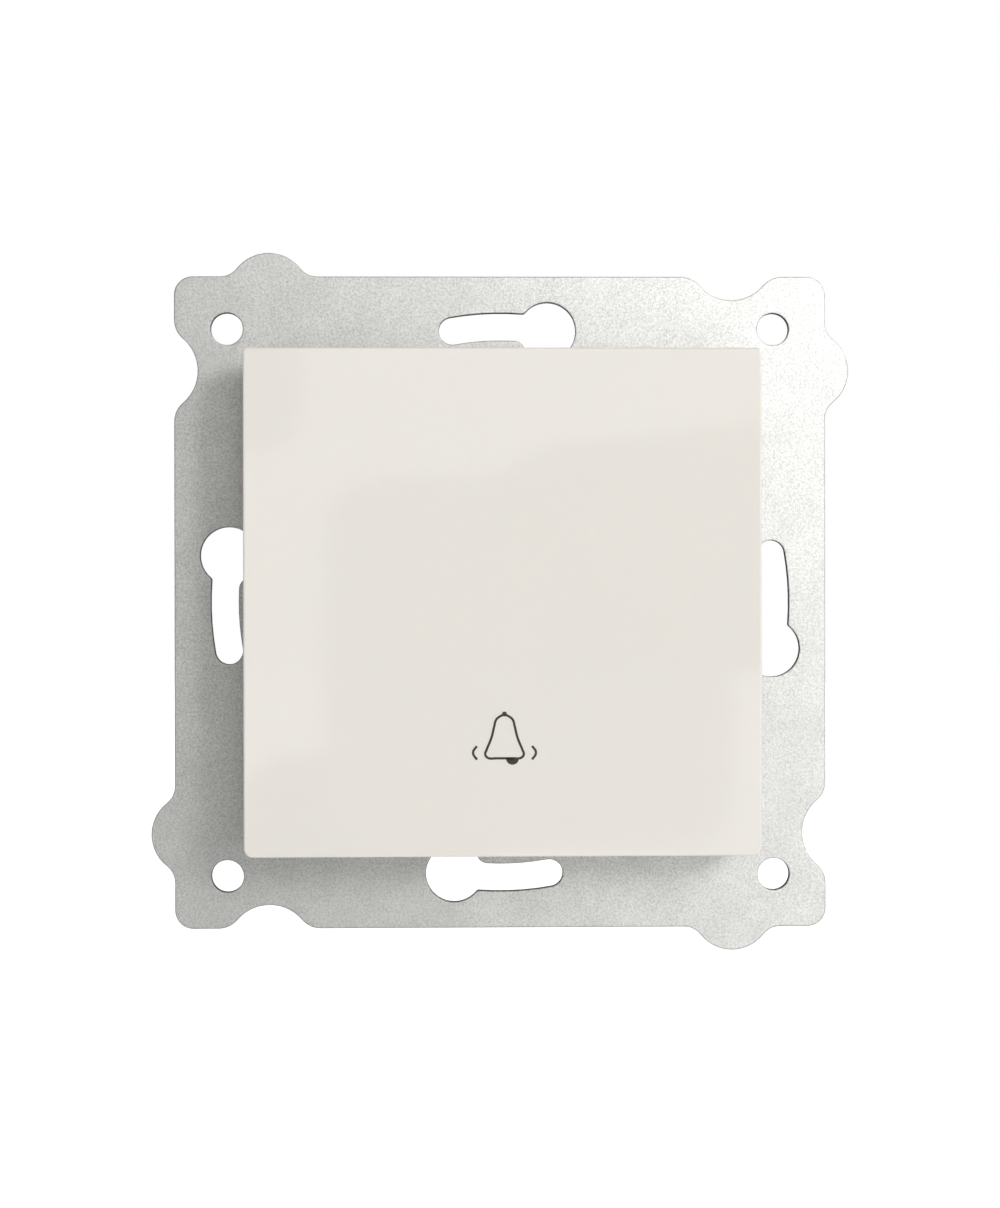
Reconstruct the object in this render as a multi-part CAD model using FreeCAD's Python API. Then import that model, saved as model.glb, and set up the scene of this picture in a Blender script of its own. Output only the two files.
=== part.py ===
"""Flush-mounted doorbell push: steel support plate, rocker key, contact housing and spreading claws."""
import FreeCAD, Part
import math
import os

from FreeCAD import Vector

os.makedirs("parts", exist_ok=True)

# All lengths are millimetres and all angles degrees. The key faces -Y, the wall box lies towards +Y
# and up is +Z. The origin is the centre of the plate's wall side.

# Clearances
RUNNING = 0.08
LOOSE_THREAD = 0.2
SEAT = 0.05
SPRING_PLAY = 0.15
LUG_PLAY = 0.15
HEAD_WELL_PLAY = 0.15
LEAF_PLAY = 0.1
HOOK_PLAY = 1.2
FINGER_PLAY = 0.9
LEAN_PLAY = 0.15

# How far a cutting body runs past the face it cuts, a rib into the wall that carries it, and how far
# off an edge may be and still be taken
OVERCUT = 1.0
ROOT = 0.5
NEAR = 0.01

# Support plate
GANG_PITCH = 71.0
GANG_GAP = 0.1
PLATE_T = 1.0
PLATE_CORNER_R = 2.0
EAR_OFFSET = 25.2
EAR_REACH = 38.0
EAR_R = 4.4
EAR_FILLET = 2.3
NOTCH_PLAY = 0.2
NOTCH_FILLET = 2.6
WALL_HOLE_SPACING = 59.5
WALL_HOLE_R = 1.75
BOX_SCREW_CIRCLE_R = 30.0
SLOT_WIDTH = 3.0
SLOT_HALF_SWEEP = 10.0
SLOT_ENTRY_R = 3.1
SLOT_ENTRY_ANGLE = 9.8
SLOT_FILLET = 0.4
SLOT_INNER_FILLET = 1.2
PLATE_OPENING = 33.6
PLATE_OPENING_R = 6.0

# Front frame and the screws that clamp it to the housing
FRAME_SIDE = 40.0
FRAME_T = 2.2
FRAME_CORNER_R = 3.0
HOUSING_SCREW_OFFSET = 17.0
HOUSING_SCREW_R = 1.1
HOUSING_SCREW_LENGTH = 10.0
HOUSING_SCREW_HEAD_R = 2.0
HOUSING_SCREW_HEAD_T = 1.4
DRIVE_SLOT = 0.6
DRIVE_DEPTH = 0.7
DRIVE_REACH = 1.3
POST_T = 3.0
POST_HALF_WIDTH = 3.2
POST_WALL = 0.9
CUP_WALL = 0.8
CUP_DEPTH = 8.2
PAD_WIDTH = 3.0
PAD_LENGTH = 1.5
PAD_GAP = 1.0

# Carrier that turns in the frame
PIVOT_STAND = 2.2
TRUNNION_R = 1.75
PRESS_ANGLE = 4.5
CARRIER_HALF_WIDTH = 13.0
CARRIER_HALF_HEIGHT = 16.0
CARRIER_T = 2.4
CARRIER_STAND = 1.7
CARRIER_EDGE_R = 0.6
TRUNNION_SIDE_PLAY = 0.4
FINGER_Z = -10.0
FINGER_WIDTH = 5.0
FINGER_T = 2.4
FINGER_TIP_R = 1.0
SPRING_Z = -4.0
SPRING_R = 2.35
SPRING_WIRE_R = 0.25
SPRING_WIRE_SIDES = 5
SPRING_TURNS = 4
SPIGOT_LENGTH = 1.5

# Rocker key
KEY_WIDTH = 54.8
KEY_HEIGHT = 53.8
KEY_FACE_Y = -10.5
KEY_CROWN_R = 1500.0
KEY_SKIRT = 5.7
KEY_WALL = 1.5
KEY_FACE_T = 1.8
KEY_TOP_CORNER_R = 0.4
KEY_BOTTOM_CORNER_R = 1.0
KEY_EDGE_R = 0.25
KEY_RIB_T = 1.0
KEY_RIB_X = 8.0
KEY_CROSS_RIB_Z = 19.5
HOOK_WIDTH = 8.0
HOOK_T = 1.2
HOOK_BARB = 0.6
HOOK_BARB_T = 1.0

# Housing
HOUSING_DEPTH = 21.0
HOUSING_WALL = 1.6
HOUSING_FLOOR = 1.8
HOUSING_REAR_CHAMFER = 1.2
BOSS_WALL = 1.3
BORE_RESERVE = 1.0
RIB_T = 1.6
EAR_LUG_T = 2.0
EAR_LUG_R = 1.9
LEDGE_DEPTH = 2.8
LEDGE_INSET = 1.0
STEP_Z = -6.0
BARRIER_T = 1.4
BARRIER_STAND = 1.2
BARRIER_LENGTH = 9.0
GAUGE_LENGTH = 8.0
GAUGE_WIDTH = 1.6
GAUGE_DEPTH = 0.5
GAUGE_Z = 9.0

# Contacts and terminals
STRIP_Y = 11.6
STRIP_T = 0.8
STRIP_WIDTH = 5.0
LEAF_T = 0.35
LEAF_OFFSET = 2.15
LEAF_WIDTH = 5.0
LEAF_TIP_WIDTH = 4.0
LEAF_ROOT_Z = 10.0
LEAF_ROOT_HALF = 2.0
LEAF_JOGGLE = 3.0
CONTACT_Z = -13.0
LEAF_TAIL = 1.8
CONTACT_R = 1.5
CONTACT_GAP = 1.0
MOVING_CONTACT_T = 0.75
CONTACT_SHANK_R = 0.8
CONTACT_HEAD_R = 1.2
CONTACT_HEAD_T = 0.4
ROOT_RIVET_R = 1.0
ROOT_RIVET_HEAD_R = 1.7
ROOT_RIVET_HEAD_T = 0.5
TERMINAL_X = 10.5
TERMINAL_Z = -13.5
TERMINAL_WIDTH = 7.2
TERMINAL_HEIGHT = 6.4
TERMINAL_CHAMFER = 0.4
WIRE_BORE_R = 1.5
WIRE_BORE_END = 1.2
WIRE_ENTRY_R = 1.7
WIRE_FUNNEL = 0.7
TERMINAL_SCREW_R = 1.5
TERMINAL_HEAD_R = 2.5
TERMINAL_HEAD_T = 2.0
TERMINAL_HEAD_GAP = 0.9

# Spreading claws
CLAW_PIVOT_X = 21.8
CLAW_PIVOT_Y = 2.4
CLAW_PIN_R = 0.9
CLAW_KNUCKLE_R = 1.0
CLAW_T = 1.2
CLAW_HALF_WIDTH = 4.2
CLAW_LENGTH = 15.1
CLAW_FOOT = 5.6
CLAW_BEND_R = 0.4
CLAW_TOOTH = 0.9
CLAW_TEETH = 4
CLAW_SCREW_X = 24.6
CLAW_SCREW_R = 1.45
CLAW_SCREW_END = 3.0
CLAW_HEAD_R = 2.4
CLAW_HEAD_FRONT = 0.9
CLAW_SLOT_PLAY = 0.25
CLAW_SLOT_RUN = 0.7

# Levels and places that follow from the sizes above
PLATE_HALF = (GANG_PITCH - GANG_GAP) / 2
PLATE_FRONT = -PLATE_T
FRAME_FRONT = PLATE_FRONT - FRAME_T
PIVOT_Y = FRAME_FRONT - PIVOT_STAND
CARRIER_REAR = FRAME_FRONT - CARRIER_STAND
CARRIER_FRONT = CARRIER_REAR - CARRIER_T
KEY_INSIDE = KEY_FACE_Y + KEY_FACE_T
HOUSING_HALF = FRAME_SIDE / 2
HOUSING_INSIDE = HOUSING_HALF - HOUSING_WALL
FLOOR_FRONT = HOUSING_DEPTH - HOUSING_FLOOR
HOOK_Z = CARRIER_HALF_HEIGHT + RUNNING
HOOK_END = CARRIER_REAR + SEAT + HOOK_BARB_T
OPENING_HALF_WIDTH = HOOK_WIDTH / 2 + HOOK_PLAY
OPENING_END = HOOK_Z + HOOK_T + HOOK_PLAY
CUP_INNER_R = SPRING_R + SPRING_WIRE_R + SPRING_PLAY
CUP_END = FRAME_FRONT + CUP_DEPTH
CUP_BOTTOM = CUP_END - CUP_WALL
STRIP_BACK = STRIP_Y + STRIP_T
UPPER_FLOOR = STRIP_BACK + LEDGE_DEPTH
UPPER_REAR = UPPER_FLOOR + HOUSING_FLOOR
TERMINAL_SCREW_Y = (STRIP_BACK + FLOOR_FRONT) / 2
LEAF_ROOT_Y = STRIP_Y - LEAF_PLAY - LEAF_T
LEAF_FREE_Y = LEAF_ROOT_Y - LEAF_OFFSET
FINGER_TIP_Y = LEAF_FREE_Y - LEAF_PLAY
CLAW_SLOT_R = CLAW_SCREW_R + CLAW_SLOT_PLAY
CLAW_HEAD_Y = PLATE_FRONT - LEAN_PLAY - math.sqrt(CLAW_HEAD_R ** 2 - CLAW_SLOT_R ** 2)
CLAW_FOOT_Y = CLAW_PIVOT_Y + CLAW_LENGTH

X_AXIS = Vector(1, 0, 0)
Y_AXIS = Vector(0, 1, 0)
Z_AXIS = Vector(0, 0, 1)


def block(x0, x1, y0, y1, z0, z1):
    return Part.makeBox(x1 - x0, y1 - y0, z1 - z0, Vector(x0, y0, z0))


def side_span(side, inner, outer):
    """The lower and the upper x of what lies from inner to outer on one side of the middle."""
    return (inner, outer) if side > 0 else (-outer, -inner)


def rod(radius, start, axis, length):
    return Part.makeCylinder(radius, length, Vector(*start), axis)


def turned_profile(points, x, z):
    """A solid of revolution about the line through (x, z) along Y, from (radius, y) points."""
    outline = [Vector(x + radius, y, z) for radius, y in points]
    return Part.Face(Part.makePolygon(outline + outline[:1])).revolve(Vector(x, 0, z), Y_AXIS, 360)


def edges_along(shape, axis, keep=lambda point: True):
    """Straight edges parallel to axis whose middle passes the test keep."""
    found = []
    for edge in shape.Edges:
        if edge.Curve.TypeId != "Part::GeomLine":
            continue
        run = edge.Vertexes[-1].Point - edge.Vertexes[0].Point
        middle = edge.CenterOfMass
        if run.cross(axis).Length < 1e-6 * run.Length and keep(middle):
            found.append(edge)
    return found


def prism(points, run):
    """A flat outline pushed along a vector."""
    return Part.Face(Part.makePolygon(points + points[:1])).extrude(run)


def rounded_block(x0, x1, y0, y1, z0, z1, radius):
    """A block whose four edges along Y are rounded."""
    body = block(x0, x1, y0, y1, z0, z1)
    return body.makeFillet(radius, edges_along(body, Y_AXIS))


def fused(shapes):
    whole = shapes[0].multiFuse(shapes[1:])
    return whole.removeSplitter()


def mirrored(shape):
    """The same piece on the other side of the YZ plane."""
    return shape.mirror(Vector(0, 0, 0), X_AXIS)


def write(name, shape):
    solids = shape.Solids
    result = solids[0] if len(solids) == 1 else Part.makeCompound(solids)
    print(name, len(solids), "solids, valid:", result.isValid(), "volume", round(result.Volume, 2))
    result.exportStep("parts/" + name + ".step")


def on_circle(radius, angle, y):
    """A point at an angle clockwise from straight up, as seen from the front."""
    turn = math.radians(angle)
    return Vector(radius * math.sin(turn), y, radius * math.cos(turn))


def keyhole_slot():
    """The arc slot above the centre, with its round entry at the clockwise end."""
    inner = BOX_SCREW_CIRCLE_R - SLOT_WIDTH / 2
    outer = BOX_SCREW_CIRCLE_R + SLOT_WIDTH / 2
    back = PLATE_FRONT - PLATE_T
    sweep = SLOT_HALF_SWEEP
    end_turn = math.degrees(SLOT_WIDTH / 2 / BOX_SCREW_CIRCLE_R)
    points = [(outer, -sweep), (outer, 0), (outer, sweep), (BOX_SCREW_CIRCLE_R, sweep + end_turn),
              (inner, sweep), (inner, 0), (inner, -sweep), (BOX_SCREW_CIRCLE_R, -sweep - end_turn)]
    p = [on_circle(radius, angle, back) for radius, angle in points]
    arcs = [Part.Arc(p[0], p[1], p[2]), Part.Arc(p[2], p[3], p[4]),
            Part.Arc(p[4], p[5], p[6]), Part.Arc(p[6], p[7], p[0])]
    face = Part.Face(Part.Wire([arc.toShape() for arc in arcs]))
    slot = face.extrude(Y_AXIS * (3 * PLATE_T))
    entry = rod(SLOT_ENTRY_R, on_circle(BOX_SCREW_CIRCLE_R, SLOT_ENTRY_ANGLE, back), Y_AXIS, 3 * PLATE_T)
    keyhole = slot.fuse(entry).removeSplitter()
    centre = on_circle(BOX_SCREW_CIRCLE_R, SLOT_ENTRY_ANGLE, 0)

    def neck(outer_side):
        """The corner between slot and entry on one side of the screw circle."""
        def test(point):
            flat = Vector(point.x, 0, point.z)
            at_entry = flat.distanceToPoint(centre) < SLOT_ENTRY_R + NEAR
            return at_entry and (flat.Length > BOX_SCREW_CIRCLE_R) == outer_side
        return test

    keyhole = keyhole.makeFillet(SLOT_FILLET, edges_along(keyhole, Y_AXIS, neck(True)))
    return keyhole.makeFillet(SLOT_INNER_FILLET, edges_along(keyhole, Y_AXIS, neck(False)))


def claw_screw_slot():
    """The short slot beside the opening that lets a claw screw lean outwards."""
    start = PLATE_FRONT - PLATE_T
    far = CLAW_SCREW_X + CLAW_SLOT_RUN
    ends = [rod(CLAW_SLOT_R, (x, start, 0), Y_AXIS, 3 * PLATE_T) for x in (CLAW_SCREW_X, far)]
    middle = block(CLAW_SCREW_X, far, start, start + 3 * PLATE_T, -CLAW_SLOT_R, CLAW_SLOT_R)
    return fused(ends + [middle])


def turned(shape, angle):
    """A copy turned about the Y axis."""
    copy = shape.copy()
    copy.rotate(Vector(0, 0, 0), Y_AXIS, angle)
    return copy


def ear():
    """The round ear at the upper left, with a neck as wide as itself down into the plate."""
    centre_z = EAR_REACH - EAR_R
    tip = rod(EAR_R, (-EAR_OFFSET, PLATE_FRONT, centre_z), Y_AXIS, PLATE_T)
    neck = block(-EAR_OFFSET - EAR_R, -EAR_OFFSET + EAR_R, PLATE_FRONT, 0, PLATE_HALF / 2, centre_z)
    return fused([tip, neck])


def notch():
    """What the neighbour's ear needs at the upper right: a round with an open way out."""
    radius = EAR_R + NOTCH_PLAY
    centre_z = GANG_PITCH - EAR_REACH - GANG_GAP + radius
    start = PLATE_FRONT - PLATE_T
    bottom = rod(radius, (EAR_OFFSET, start, centre_z), Y_AXIS, 3 * PLATE_T)
    way = block(EAR_OFFSET - radius, EAR_OFFSET + radius, start, start + 3 * PLATE_T, centre_z, GANG_PITCH)
    return fused([bottom, way])


def support_plate():
    half = PLATE_HALF
    body = rounded_block(-half, half, PLATE_FRONT, 0, -half, half, PLATE_CORNER_R)
    turns = [quarter * 90 for quarter in range(4)]
    body = fused([body] + [turned(ear(), angle) for angle in turns])
    body = body.cut([turned(notch(), angle) for angle in turns]).removeSplitter()

    def beside(offset, reach):
        """A test for the edges where a round meets the plate's straight side."""
        def test(point):
            for angle in turns:
                spot = FreeCAD.Rotation(Y_AXIS, -angle).multVec(point)
                if abs(spot.z - half) < NEAR and abs(spot.x - offset) < reach + NEAR:
                    return True
            return False
        return test

    body = body.makeFillet(EAR_FILLET, edges_along(body, Y_AXIS, beside(-EAR_OFFSET, EAR_R)))
    body = body.makeFillet(NOTCH_FILLET, edges_along(body, Y_AXIS, beside(EAR_OFFSET, EAR_R + NOTCH_PLAY)))

    cuts = [rounded_block(-PLATE_OPENING / 2, PLATE_OPENING / 2, PLATE_FRONT - PLATE_T, PLATE_T,
                          -PLATE_OPENING / 2, PLATE_OPENING / 2, PLATE_OPENING_R)]
    slot = keyhole_slot()
    cuts += [turned(slot, angle) for angle in turns]
    for x in (-1, 1):
        for z in (-1, 1):
            place = (x * WALL_HOLE_SPACING / 2, PLATE_FRONT - PLATE_T, z * WALL_HOLE_SPACING / 2)
            cuts.append(rod(WALL_HOLE_R, place, Y_AXIS, 3 * PLATE_T))
            place = (x * HOUSING_SCREW_OFFSET, PLATE_FRONT - PLATE_T, z * HOUSING_SCREW_OFFSET)
            cuts.append(rod(HOUSING_SCREW_R + LOOSE_THREAD, place, Y_AXIS, 3 * PLATE_T))
    cuts += [claw_screw_slot(), mirrored(claw_screw_slot())]
    return body.cut(cuts)


def at_screws(make):
    """One copy of a shape at each of the four housing screws."""
    offset = HOUSING_SCREW_OFFSET
    return [make(x * offset, z * offset) for x in (-1, 1) for z in (-1, 1)]


def spring_cup():
    """A round pocket under the frame that holds the return spring."""
    outer = rod(CUP_INNER_R + CUP_WALL, (0, FRAME_FRONT, SPRING_Z), Y_AXIS, CUP_DEPTH)
    front = FRAME_FRONT - OVERCUT
    return outer, rod(CUP_INNER_R, (0, front, SPRING_Z), Y_AXIS, CUP_BOTTOM - front)


def carrier_level(angle, z):
    """Where the carrier's rear face is when it has turned by angle, at height z on the carrier."""
    turn = math.radians(angle)
    return PIVOT_Y + (CARRIER_REAR - PIVOT_Y) * math.cos(turn) - z * math.sin(turn)


def front_frame():
    half = FRAME_SIDE / 2
    base = rounded_block(-half, half, FRAME_FRONT, PLATE_FRONT, -half, half, FRAME_CORNER_R)
    post_x = CARRIER_HALF_WIDTH + TRUNNION_SIDE_PLAY
    post_r = TRUNNION_R + RUNNING + POST_WALL
    cup, pocket = spring_cup()
    adds = [cup]
    cuts = [pocket]
    for z0, z1 in ((-OPENING_END, FINGER_Z + FINGER_T / 2 + FINGER_PLAY), (HOOK_Z - HOOK_PLAY, OPENING_END)):
        cuts.append(block(-OPENING_HALF_WIDTH, OPENING_HALF_WIDTH, FRAME_FRONT - OVERCUT, 0, z0, z1))
    stop = carrier_level(PRESS_ANGLE, -CARRIER_HALF_HEIGHT) + SEAT
    pad_z = CARRIER_HALF_HEIGHT - PAD_LENGTH
    for side in (-1, 1):
        x0, x1 = side_span(side, post_x, post_x + POST_T)
        adds.append(block(x0, x1, PIVOT_Y, FRAME_FRONT, -POST_HALF_WIDTH, POST_HALF_WIDTH))
        adds.append(rod(post_r, (x0, PIVOT_Y, 0), X_AXIS, POST_T))
        cuts.append(rod(TRUNNION_R + RUNNING, (x0 - OVERCUT, PIVOT_Y, 0), X_AXIS, POST_T + 2 * OVERCUT))
        x0, x1 = side_span(side, OPENING_HALF_WIDTH + PAD_GAP, OPENING_HALF_WIDTH + PAD_GAP + PAD_WIDTH)
        adds.append(block(x0, x1, CARRIER_REAR + SEAT, FRAME_FRONT, pad_z, pad_z + PAD_LENGTH))
        adds.append(block(x0, x1, stop, FRAME_FRONT, -pad_z - PAD_LENGTH, -pad_z))
    hole_r = HOUSING_SCREW_R + LOOSE_THREAD
    cuts += at_screws(lambda x, z: rod(hole_r, (x, FRAME_FRONT - OVERCUT, z), Y_AXIS, FRAME_T + 2 * OVERCUT))
    return fused([base] + adds).cut(cuts)


def housing_screw(x, z):
    start = FRAME_FRONT - HOUSING_SCREW_HEAD_T
    end = FRAME_FRONT + HOUSING_SCREW_LENGTH
    screw = turned_profile([(0, start), (HOUSING_SCREW_HEAD_R, start), (HOUSING_SCREW_HEAD_R, FRAME_FRONT),
                            (HOUSING_SCREW_R, FRAME_FRONT), (HOUSING_SCREW_R, end), (0, end)], x, z)
    thin = DRIVE_SLOT / 2
    drive = [block(x - across, x + across, start - OVERCUT, start + DRIVE_DEPTH, z - up, z + up)
             for across, up in ((thin, DRIVE_REACH), (DRIVE_REACH, thin))]
    return screw.cut(drive)


def rocker_carrier():
    w = CARRIER_HALF_WIDTH
    h = CARRIER_HALF_HEIGHT
    platform = rounded_block(-w, w, CARRIER_FRONT, CARRIER_REAR, -h, h, CARRIER_EDGE_R)
    reach = w + TRUNNION_SIDE_PLAY + POST_T
    pin = rod(TRUNNION_R, (-reach, PIVOT_Y, 0), X_AXIS, 2 * reach)
    finger = block(-FINGER_WIDTH / 2, FINGER_WIDTH / 2, CARRIER_REAR, FINGER_TIP_Y,
                   FINGER_Z - FINGER_T / 2, FINGER_Z + FINGER_T / 2)
    tip = edges_along(finger, X_AXIS, lambda point: point.y > FINGER_TIP_Y - NEAR)
    finger = finger.makeFillet(FINGER_TIP_R, tip)
    spigot_r = SPRING_R - SPRING_WIRE_R - SPRING_PLAY
    spigot = rod(spigot_r, (0, CARRIER_REAR, SPRING_Z), Y_AXIS, SPIGOT_LENGTH)
    return fused([platform, pin, finger, spigot])


def return_spring():
    """A compression spring between its cup and the carrier, of five-sided wire."""
    start = CARRIER_REAR + SEAT + SPRING_WIRE_R
    length = CUP_BOTTOM - SEAT - SPRING_WIRE_R - start
    helix = Part.makeHelix(length / SPRING_TURNS, length, SPRING_R)
    corners = []
    for index in range(SPRING_WIRE_SIDES):
        turn = 2 * math.pi * index / SPRING_WIRE_SIDES
        corners.append(Vector(SPRING_R + SPRING_WIRE_R * math.cos(turn), 0, SPRING_WIRE_R * math.sin(turn)))
    profile = Part.Wire(Part.makePolygon(corners + corners[:1]))
    coil = Part.Wire(helix.Edges).makePipeShell([profile], True, True)
    coil.rotate(Vector(0, 0, 0), X_AXIS, -90)
    coil.translate(Vector(0, start, SPRING_Z))
    return coil


def hook(side):
    """A clip under the key that grips the carrier's edge."""
    half = HOOK_WIDTH / 2
    z0 = HOOK_Z
    z1 = HOOK_Z + HOOK_T
    top = KEY_INSIDE - ROOT
    outline = [(top, z0), (CARRIER_REAR + SEAT, z0), (CARRIER_REAR + SEAT, z0 - HOOK_BARB), (HOOK_END, z0),
               (HOOK_END, z1), (top, z1)]
    return prism([Vector(-half, y, side * z) for y, z in outline], X_AXIS * HOOK_WIDTH)


def rocker_key():
    w = KEY_WIDTH / 2
    h = KEY_HEIGHT / 2
    rear = KEY_FACE_Y + KEY_SKIRT
    body = block(-w, w, KEY_FACE_Y - OVERCUT, rear, -h, h)
    body = body.makeFillet(KEY_TOP_CORNER_R, edges_along(body, Y_AXIS, lambda point: point.z > 0))
    bottom = edges_along(body, Y_AXIS, lambda point: point.z < 0 and abs(point.x) > w - NEAR)
    body = body.makeFillet(KEY_BOTTOM_CORNER_R, bottom)
    axis_start = Vector(-w - OVERCUT, KEY_FACE_Y + KEY_CROWN_R, 0)
    body = body.common(Part.makeCylinder(KEY_CROWN_R, KEY_WIDTH + 2 * OVERCUT, axis_start, X_AXIS))
    front = [edge for edge in body.Edges if edge.BoundBox.YMax < KEY_INSIDE]
    body = body.makeFillet(KEY_EDGE_R, front)
    t = KEY_WALL
    past = rear + OVERCUT
    body = body.cut(rounded_block(-w + t, w - t, KEY_INSIDE, past, -h + t, h - t, KEY_BOTTOM_CORNER_R))
    rib = KEY_RIB_T / 2
    top = KEY_INSIDE - ROOT
    adds = [hook(-1), hook(1)]
    for side in (-1, 1):
        x = side * KEY_RIB_X
        adds.append(block(x - rib, x + rib, top, CARRIER_FRONT, -h + t / 2, h - t / 2))
        z = side * KEY_CROSS_RIB_Z
        adds.append(block(-w + t / 2, w - t / 2, top, CARRIER_FRONT, z - rib, z + rib))
    return fused([body] + adds)


def wire_entry(x):
    """The funnel-mouthed hole in the rear wall for one wire."""
    hole = rod(WIRE_ENTRY_R, (x, FLOOR_FRONT - OVERCUT, TERMINAL_Z), Y_AXIS, HOUSING_FLOOR + 2 * OVERCUT)
    mouth = Part.makeCone(WIRE_ENTRY_R, WIRE_ENTRY_R + WIRE_FUNNEL, WIRE_FUNNEL,
                          Vector(x, HOUSING_DEPTH - WIRE_FUNNEL, TERMINAL_Z), Y_AXIS)
    return [hole, mouth]


def claw_lugs():
    """The two ears on the right side wall that carry a claw's pins."""
    lugs = []
    for side in (-1, 1):
        z0, z1 = side_span(side, CLAW_HALF_WIDTH + LUG_PLAY, CLAW_HALF_WIDTH + LUG_PLAY + EAR_LUG_T)
        base = block(HOUSING_HALF - ROOT, CLAW_PIVOT_X, CLAW_PIVOT_Y - EAR_LUG_R, CLAW_PIVOT_Y + EAR_LUG_R,
                     z0, z1)
        nose = rod(EAR_LUG_R, (CLAW_PIVOT_X, CLAW_PIVOT_Y, z0), Z_AXIS, EAR_LUG_T)
        bore_start = (CLAW_PIVOT_X, CLAW_PIVOT_Y, z0 - OVERCUT)
        bore = rod(CLAW_PIN_R + RUNNING, bore_start, Z_AXIS, EAR_LUG_T + 2 * OVERCUT)
        lugs.append(fused([base, nose]).cut(bore))
    return lugs


def housing_outside():
    """The moulding's outer form: full depth behind the terminals, and a step shallower above them."""
    half = HOUSING_HALF
    past = half + OVERCUT
    body = rounded_block(-half, half, 0, HOUSING_DEPTH, -half, half, FRAME_CORNER_R)
    rear = [edge for edge in body.Edges if edge.BoundBox.YMin > HOUSING_DEPTH - NEAR]
    body = body.makeChamfer(HOUSING_REAR_CHAMFER, rear)
    body = body.cut(block(-past, past, UPPER_REAR, HOUSING_DEPTH + OVERCUT, STEP_Z, past))
    barrier_end = HOUSING_DEPTH - HOUSING_REAR_CHAMFER
    barrier = block(-BARRIER_T / 2, BARRIER_T / 2, barrier_end - BARRIER_LENGTH, barrier_end,
                    -half - BARRIER_STAND, -half + ROOT)
    gauge = block(-GAUGE_LENGTH / 2, GAUGE_LENGTH / 2, UPPER_REAR - GAUGE_DEPTH, UPPER_REAR + OVERCUT,
                  GAUGE_Z - GAUGE_WIDTH / 2, GAUGE_Z + GAUGE_WIDTH / 2)
    return fused([body, barrier]).cut(gauge)


def housing_inner_ribs():
    """Screw bosses, the ledges under the strips, the contact's props and the walls beside the terminals."""
    back = FLOOR_FRONT + ROOT
    ribs = at_screws(lambda x, z: rod(HOUSING_SCREW_R + BOSS_WALL, (x, 0, z), Y_AXIS, back))
    ledge_x = -TERMINAL_X - TERMINAL_WIDTH / 2 + LEDGE_INSET
    ledge_top = LEAF_ROOT_Z + ROOT_RIVET_HEAD_R + RUNNING
    terminal_top = TERMINAL_Z + TERMINAL_HEIGHT / 2
    ribs.append(block(ledge_x, ledge_x + RIB_T, STRIP_BACK, back, terminal_top + SEAT, ledge_top))
    ribs.append(block(ledge_x, STRIP_WIDTH / 2, STRIP_BACK, back, ledge_top, ledge_top + RIB_T))
    prop = CONTACT_HEAD_R + RUNNING
    wall = TERMINAL_X - TERMINAL_WIDTH / 2 - SEAT
    for side in (-1, 1):
        x0, x1 = side_span(side, prop, prop + RIB_T)
        half = STRIP_WIDTH / 2
        ribs.append(block(x0, x1, STRIP_BACK, back, CONTACT_Z - half, CONTACT_Z + half))
        x0, x1 = side_span(side, wall - RIB_T, wall)
        ribs.append(block(x0, x1, STRIP_BACK, back, -HOUSING_INSIDE - ROOT, terminal_top))
    return fused(ribs)


def housing():
    outside = housing_outside()
    inside = HOUSING_INSIDE
    shell = outside.cut([block(-inside, inside, -OVERCUT, UPPER_FLOOR, -inside, inside),
                         block(-inside, inside, -OVERCUT, FLOOR_FRONT, -inside, STEP_Z - HOUSING_FLOOR)])
    bore_depth = HOUSING_SCREW_LENGTH + FRAME_FRONT + BORE_RESERVE
    bore_r = HOUSING_SCREW_R + RUNNING
    cuts = at_screws(lambda x, z: rod(bore_r, (x, -OVERCUT, z), Y_AXIS, bore_depth + OVERCUT))
    well_r = TERMINAL_HEAD_R + HEAD_WELL_PLAY
    well_z = -HOUSING_HALF - OVERCUT
    for x in (-TERMINAL_X, TERMINAL_X):
        cuts += wire_entry(x)
        cuts.append(rod(well_r, (x, TERMINAL_SCREW_Y, well_z), Z_AXIS, HOUSING_WALL + 2 * OVERCUT))
    lugs = claw_lugs()
    lugs += [mirrored(lug) for lug in lugs]
    return fused([shell, housing_inner_ribs().common(outside)] + lugs).cut(cuts)


def strip_face(points):
    """A flat strip cut out along an outline of (x, z) points."""
    return prism([Vector(x, STRIP_Y, z) for x, z in points], Y_AXIS * STRIP_T)


def common_strip():
    """From the left terminal up and across to the leaf's root."""
    left = -TERMINAL_X - STRIP_WIDTH / 2
    right = -TERMINAL_X + STRIP_WIDTH / 2
    foot = TERMINAL_Z - TERMINAL_HEIGHT / 2
    low = LEAF_ROOT_Z - STRIP_WIDTH / 2
    high = LEAF_ROOT_Z + ROOT_RIVET_HEAD_R + RUNNING + RIB_T
    end = LEAF_WIDTH / 2
    body = strip_face([(left, foot), (right, foot), (right, low), (end, low), (end, high), (left, high)])
    start = (0, STRIP_Y - OVERCUT, LEAF_ROOT_Z)
    return body.cut(rod(ROOT_RIVET_R + RUNNING, start, Y_AXIS, STRIP_T + 2 * OVERCUT))


def contact_strip():
    """From the right terminal across to the fixed contact."""
    half = STRIP_WIDTH / 2
    right = TERMINAL_X + half
    left = TERMINAL_X - half
    foot = TERMINAL_Z - TERMINAL_HEIGHT / 2
    body = strip_face([(-half, CONTACT_Z - half), (left, CONTACT_Z - half), (left, foot), (right, foot),
                       (right, CONTACT_Z + half), (-half, CONTACT_Z + half)])
    start = (0, STRIP_Y - OVERCUT, CONTACT_Z)
    return body.cut(rod(CONTACT_SHANK_R + RUNNING, start, Y_AXIS, STRIP_T + 2 * OVERCUT))


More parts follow.
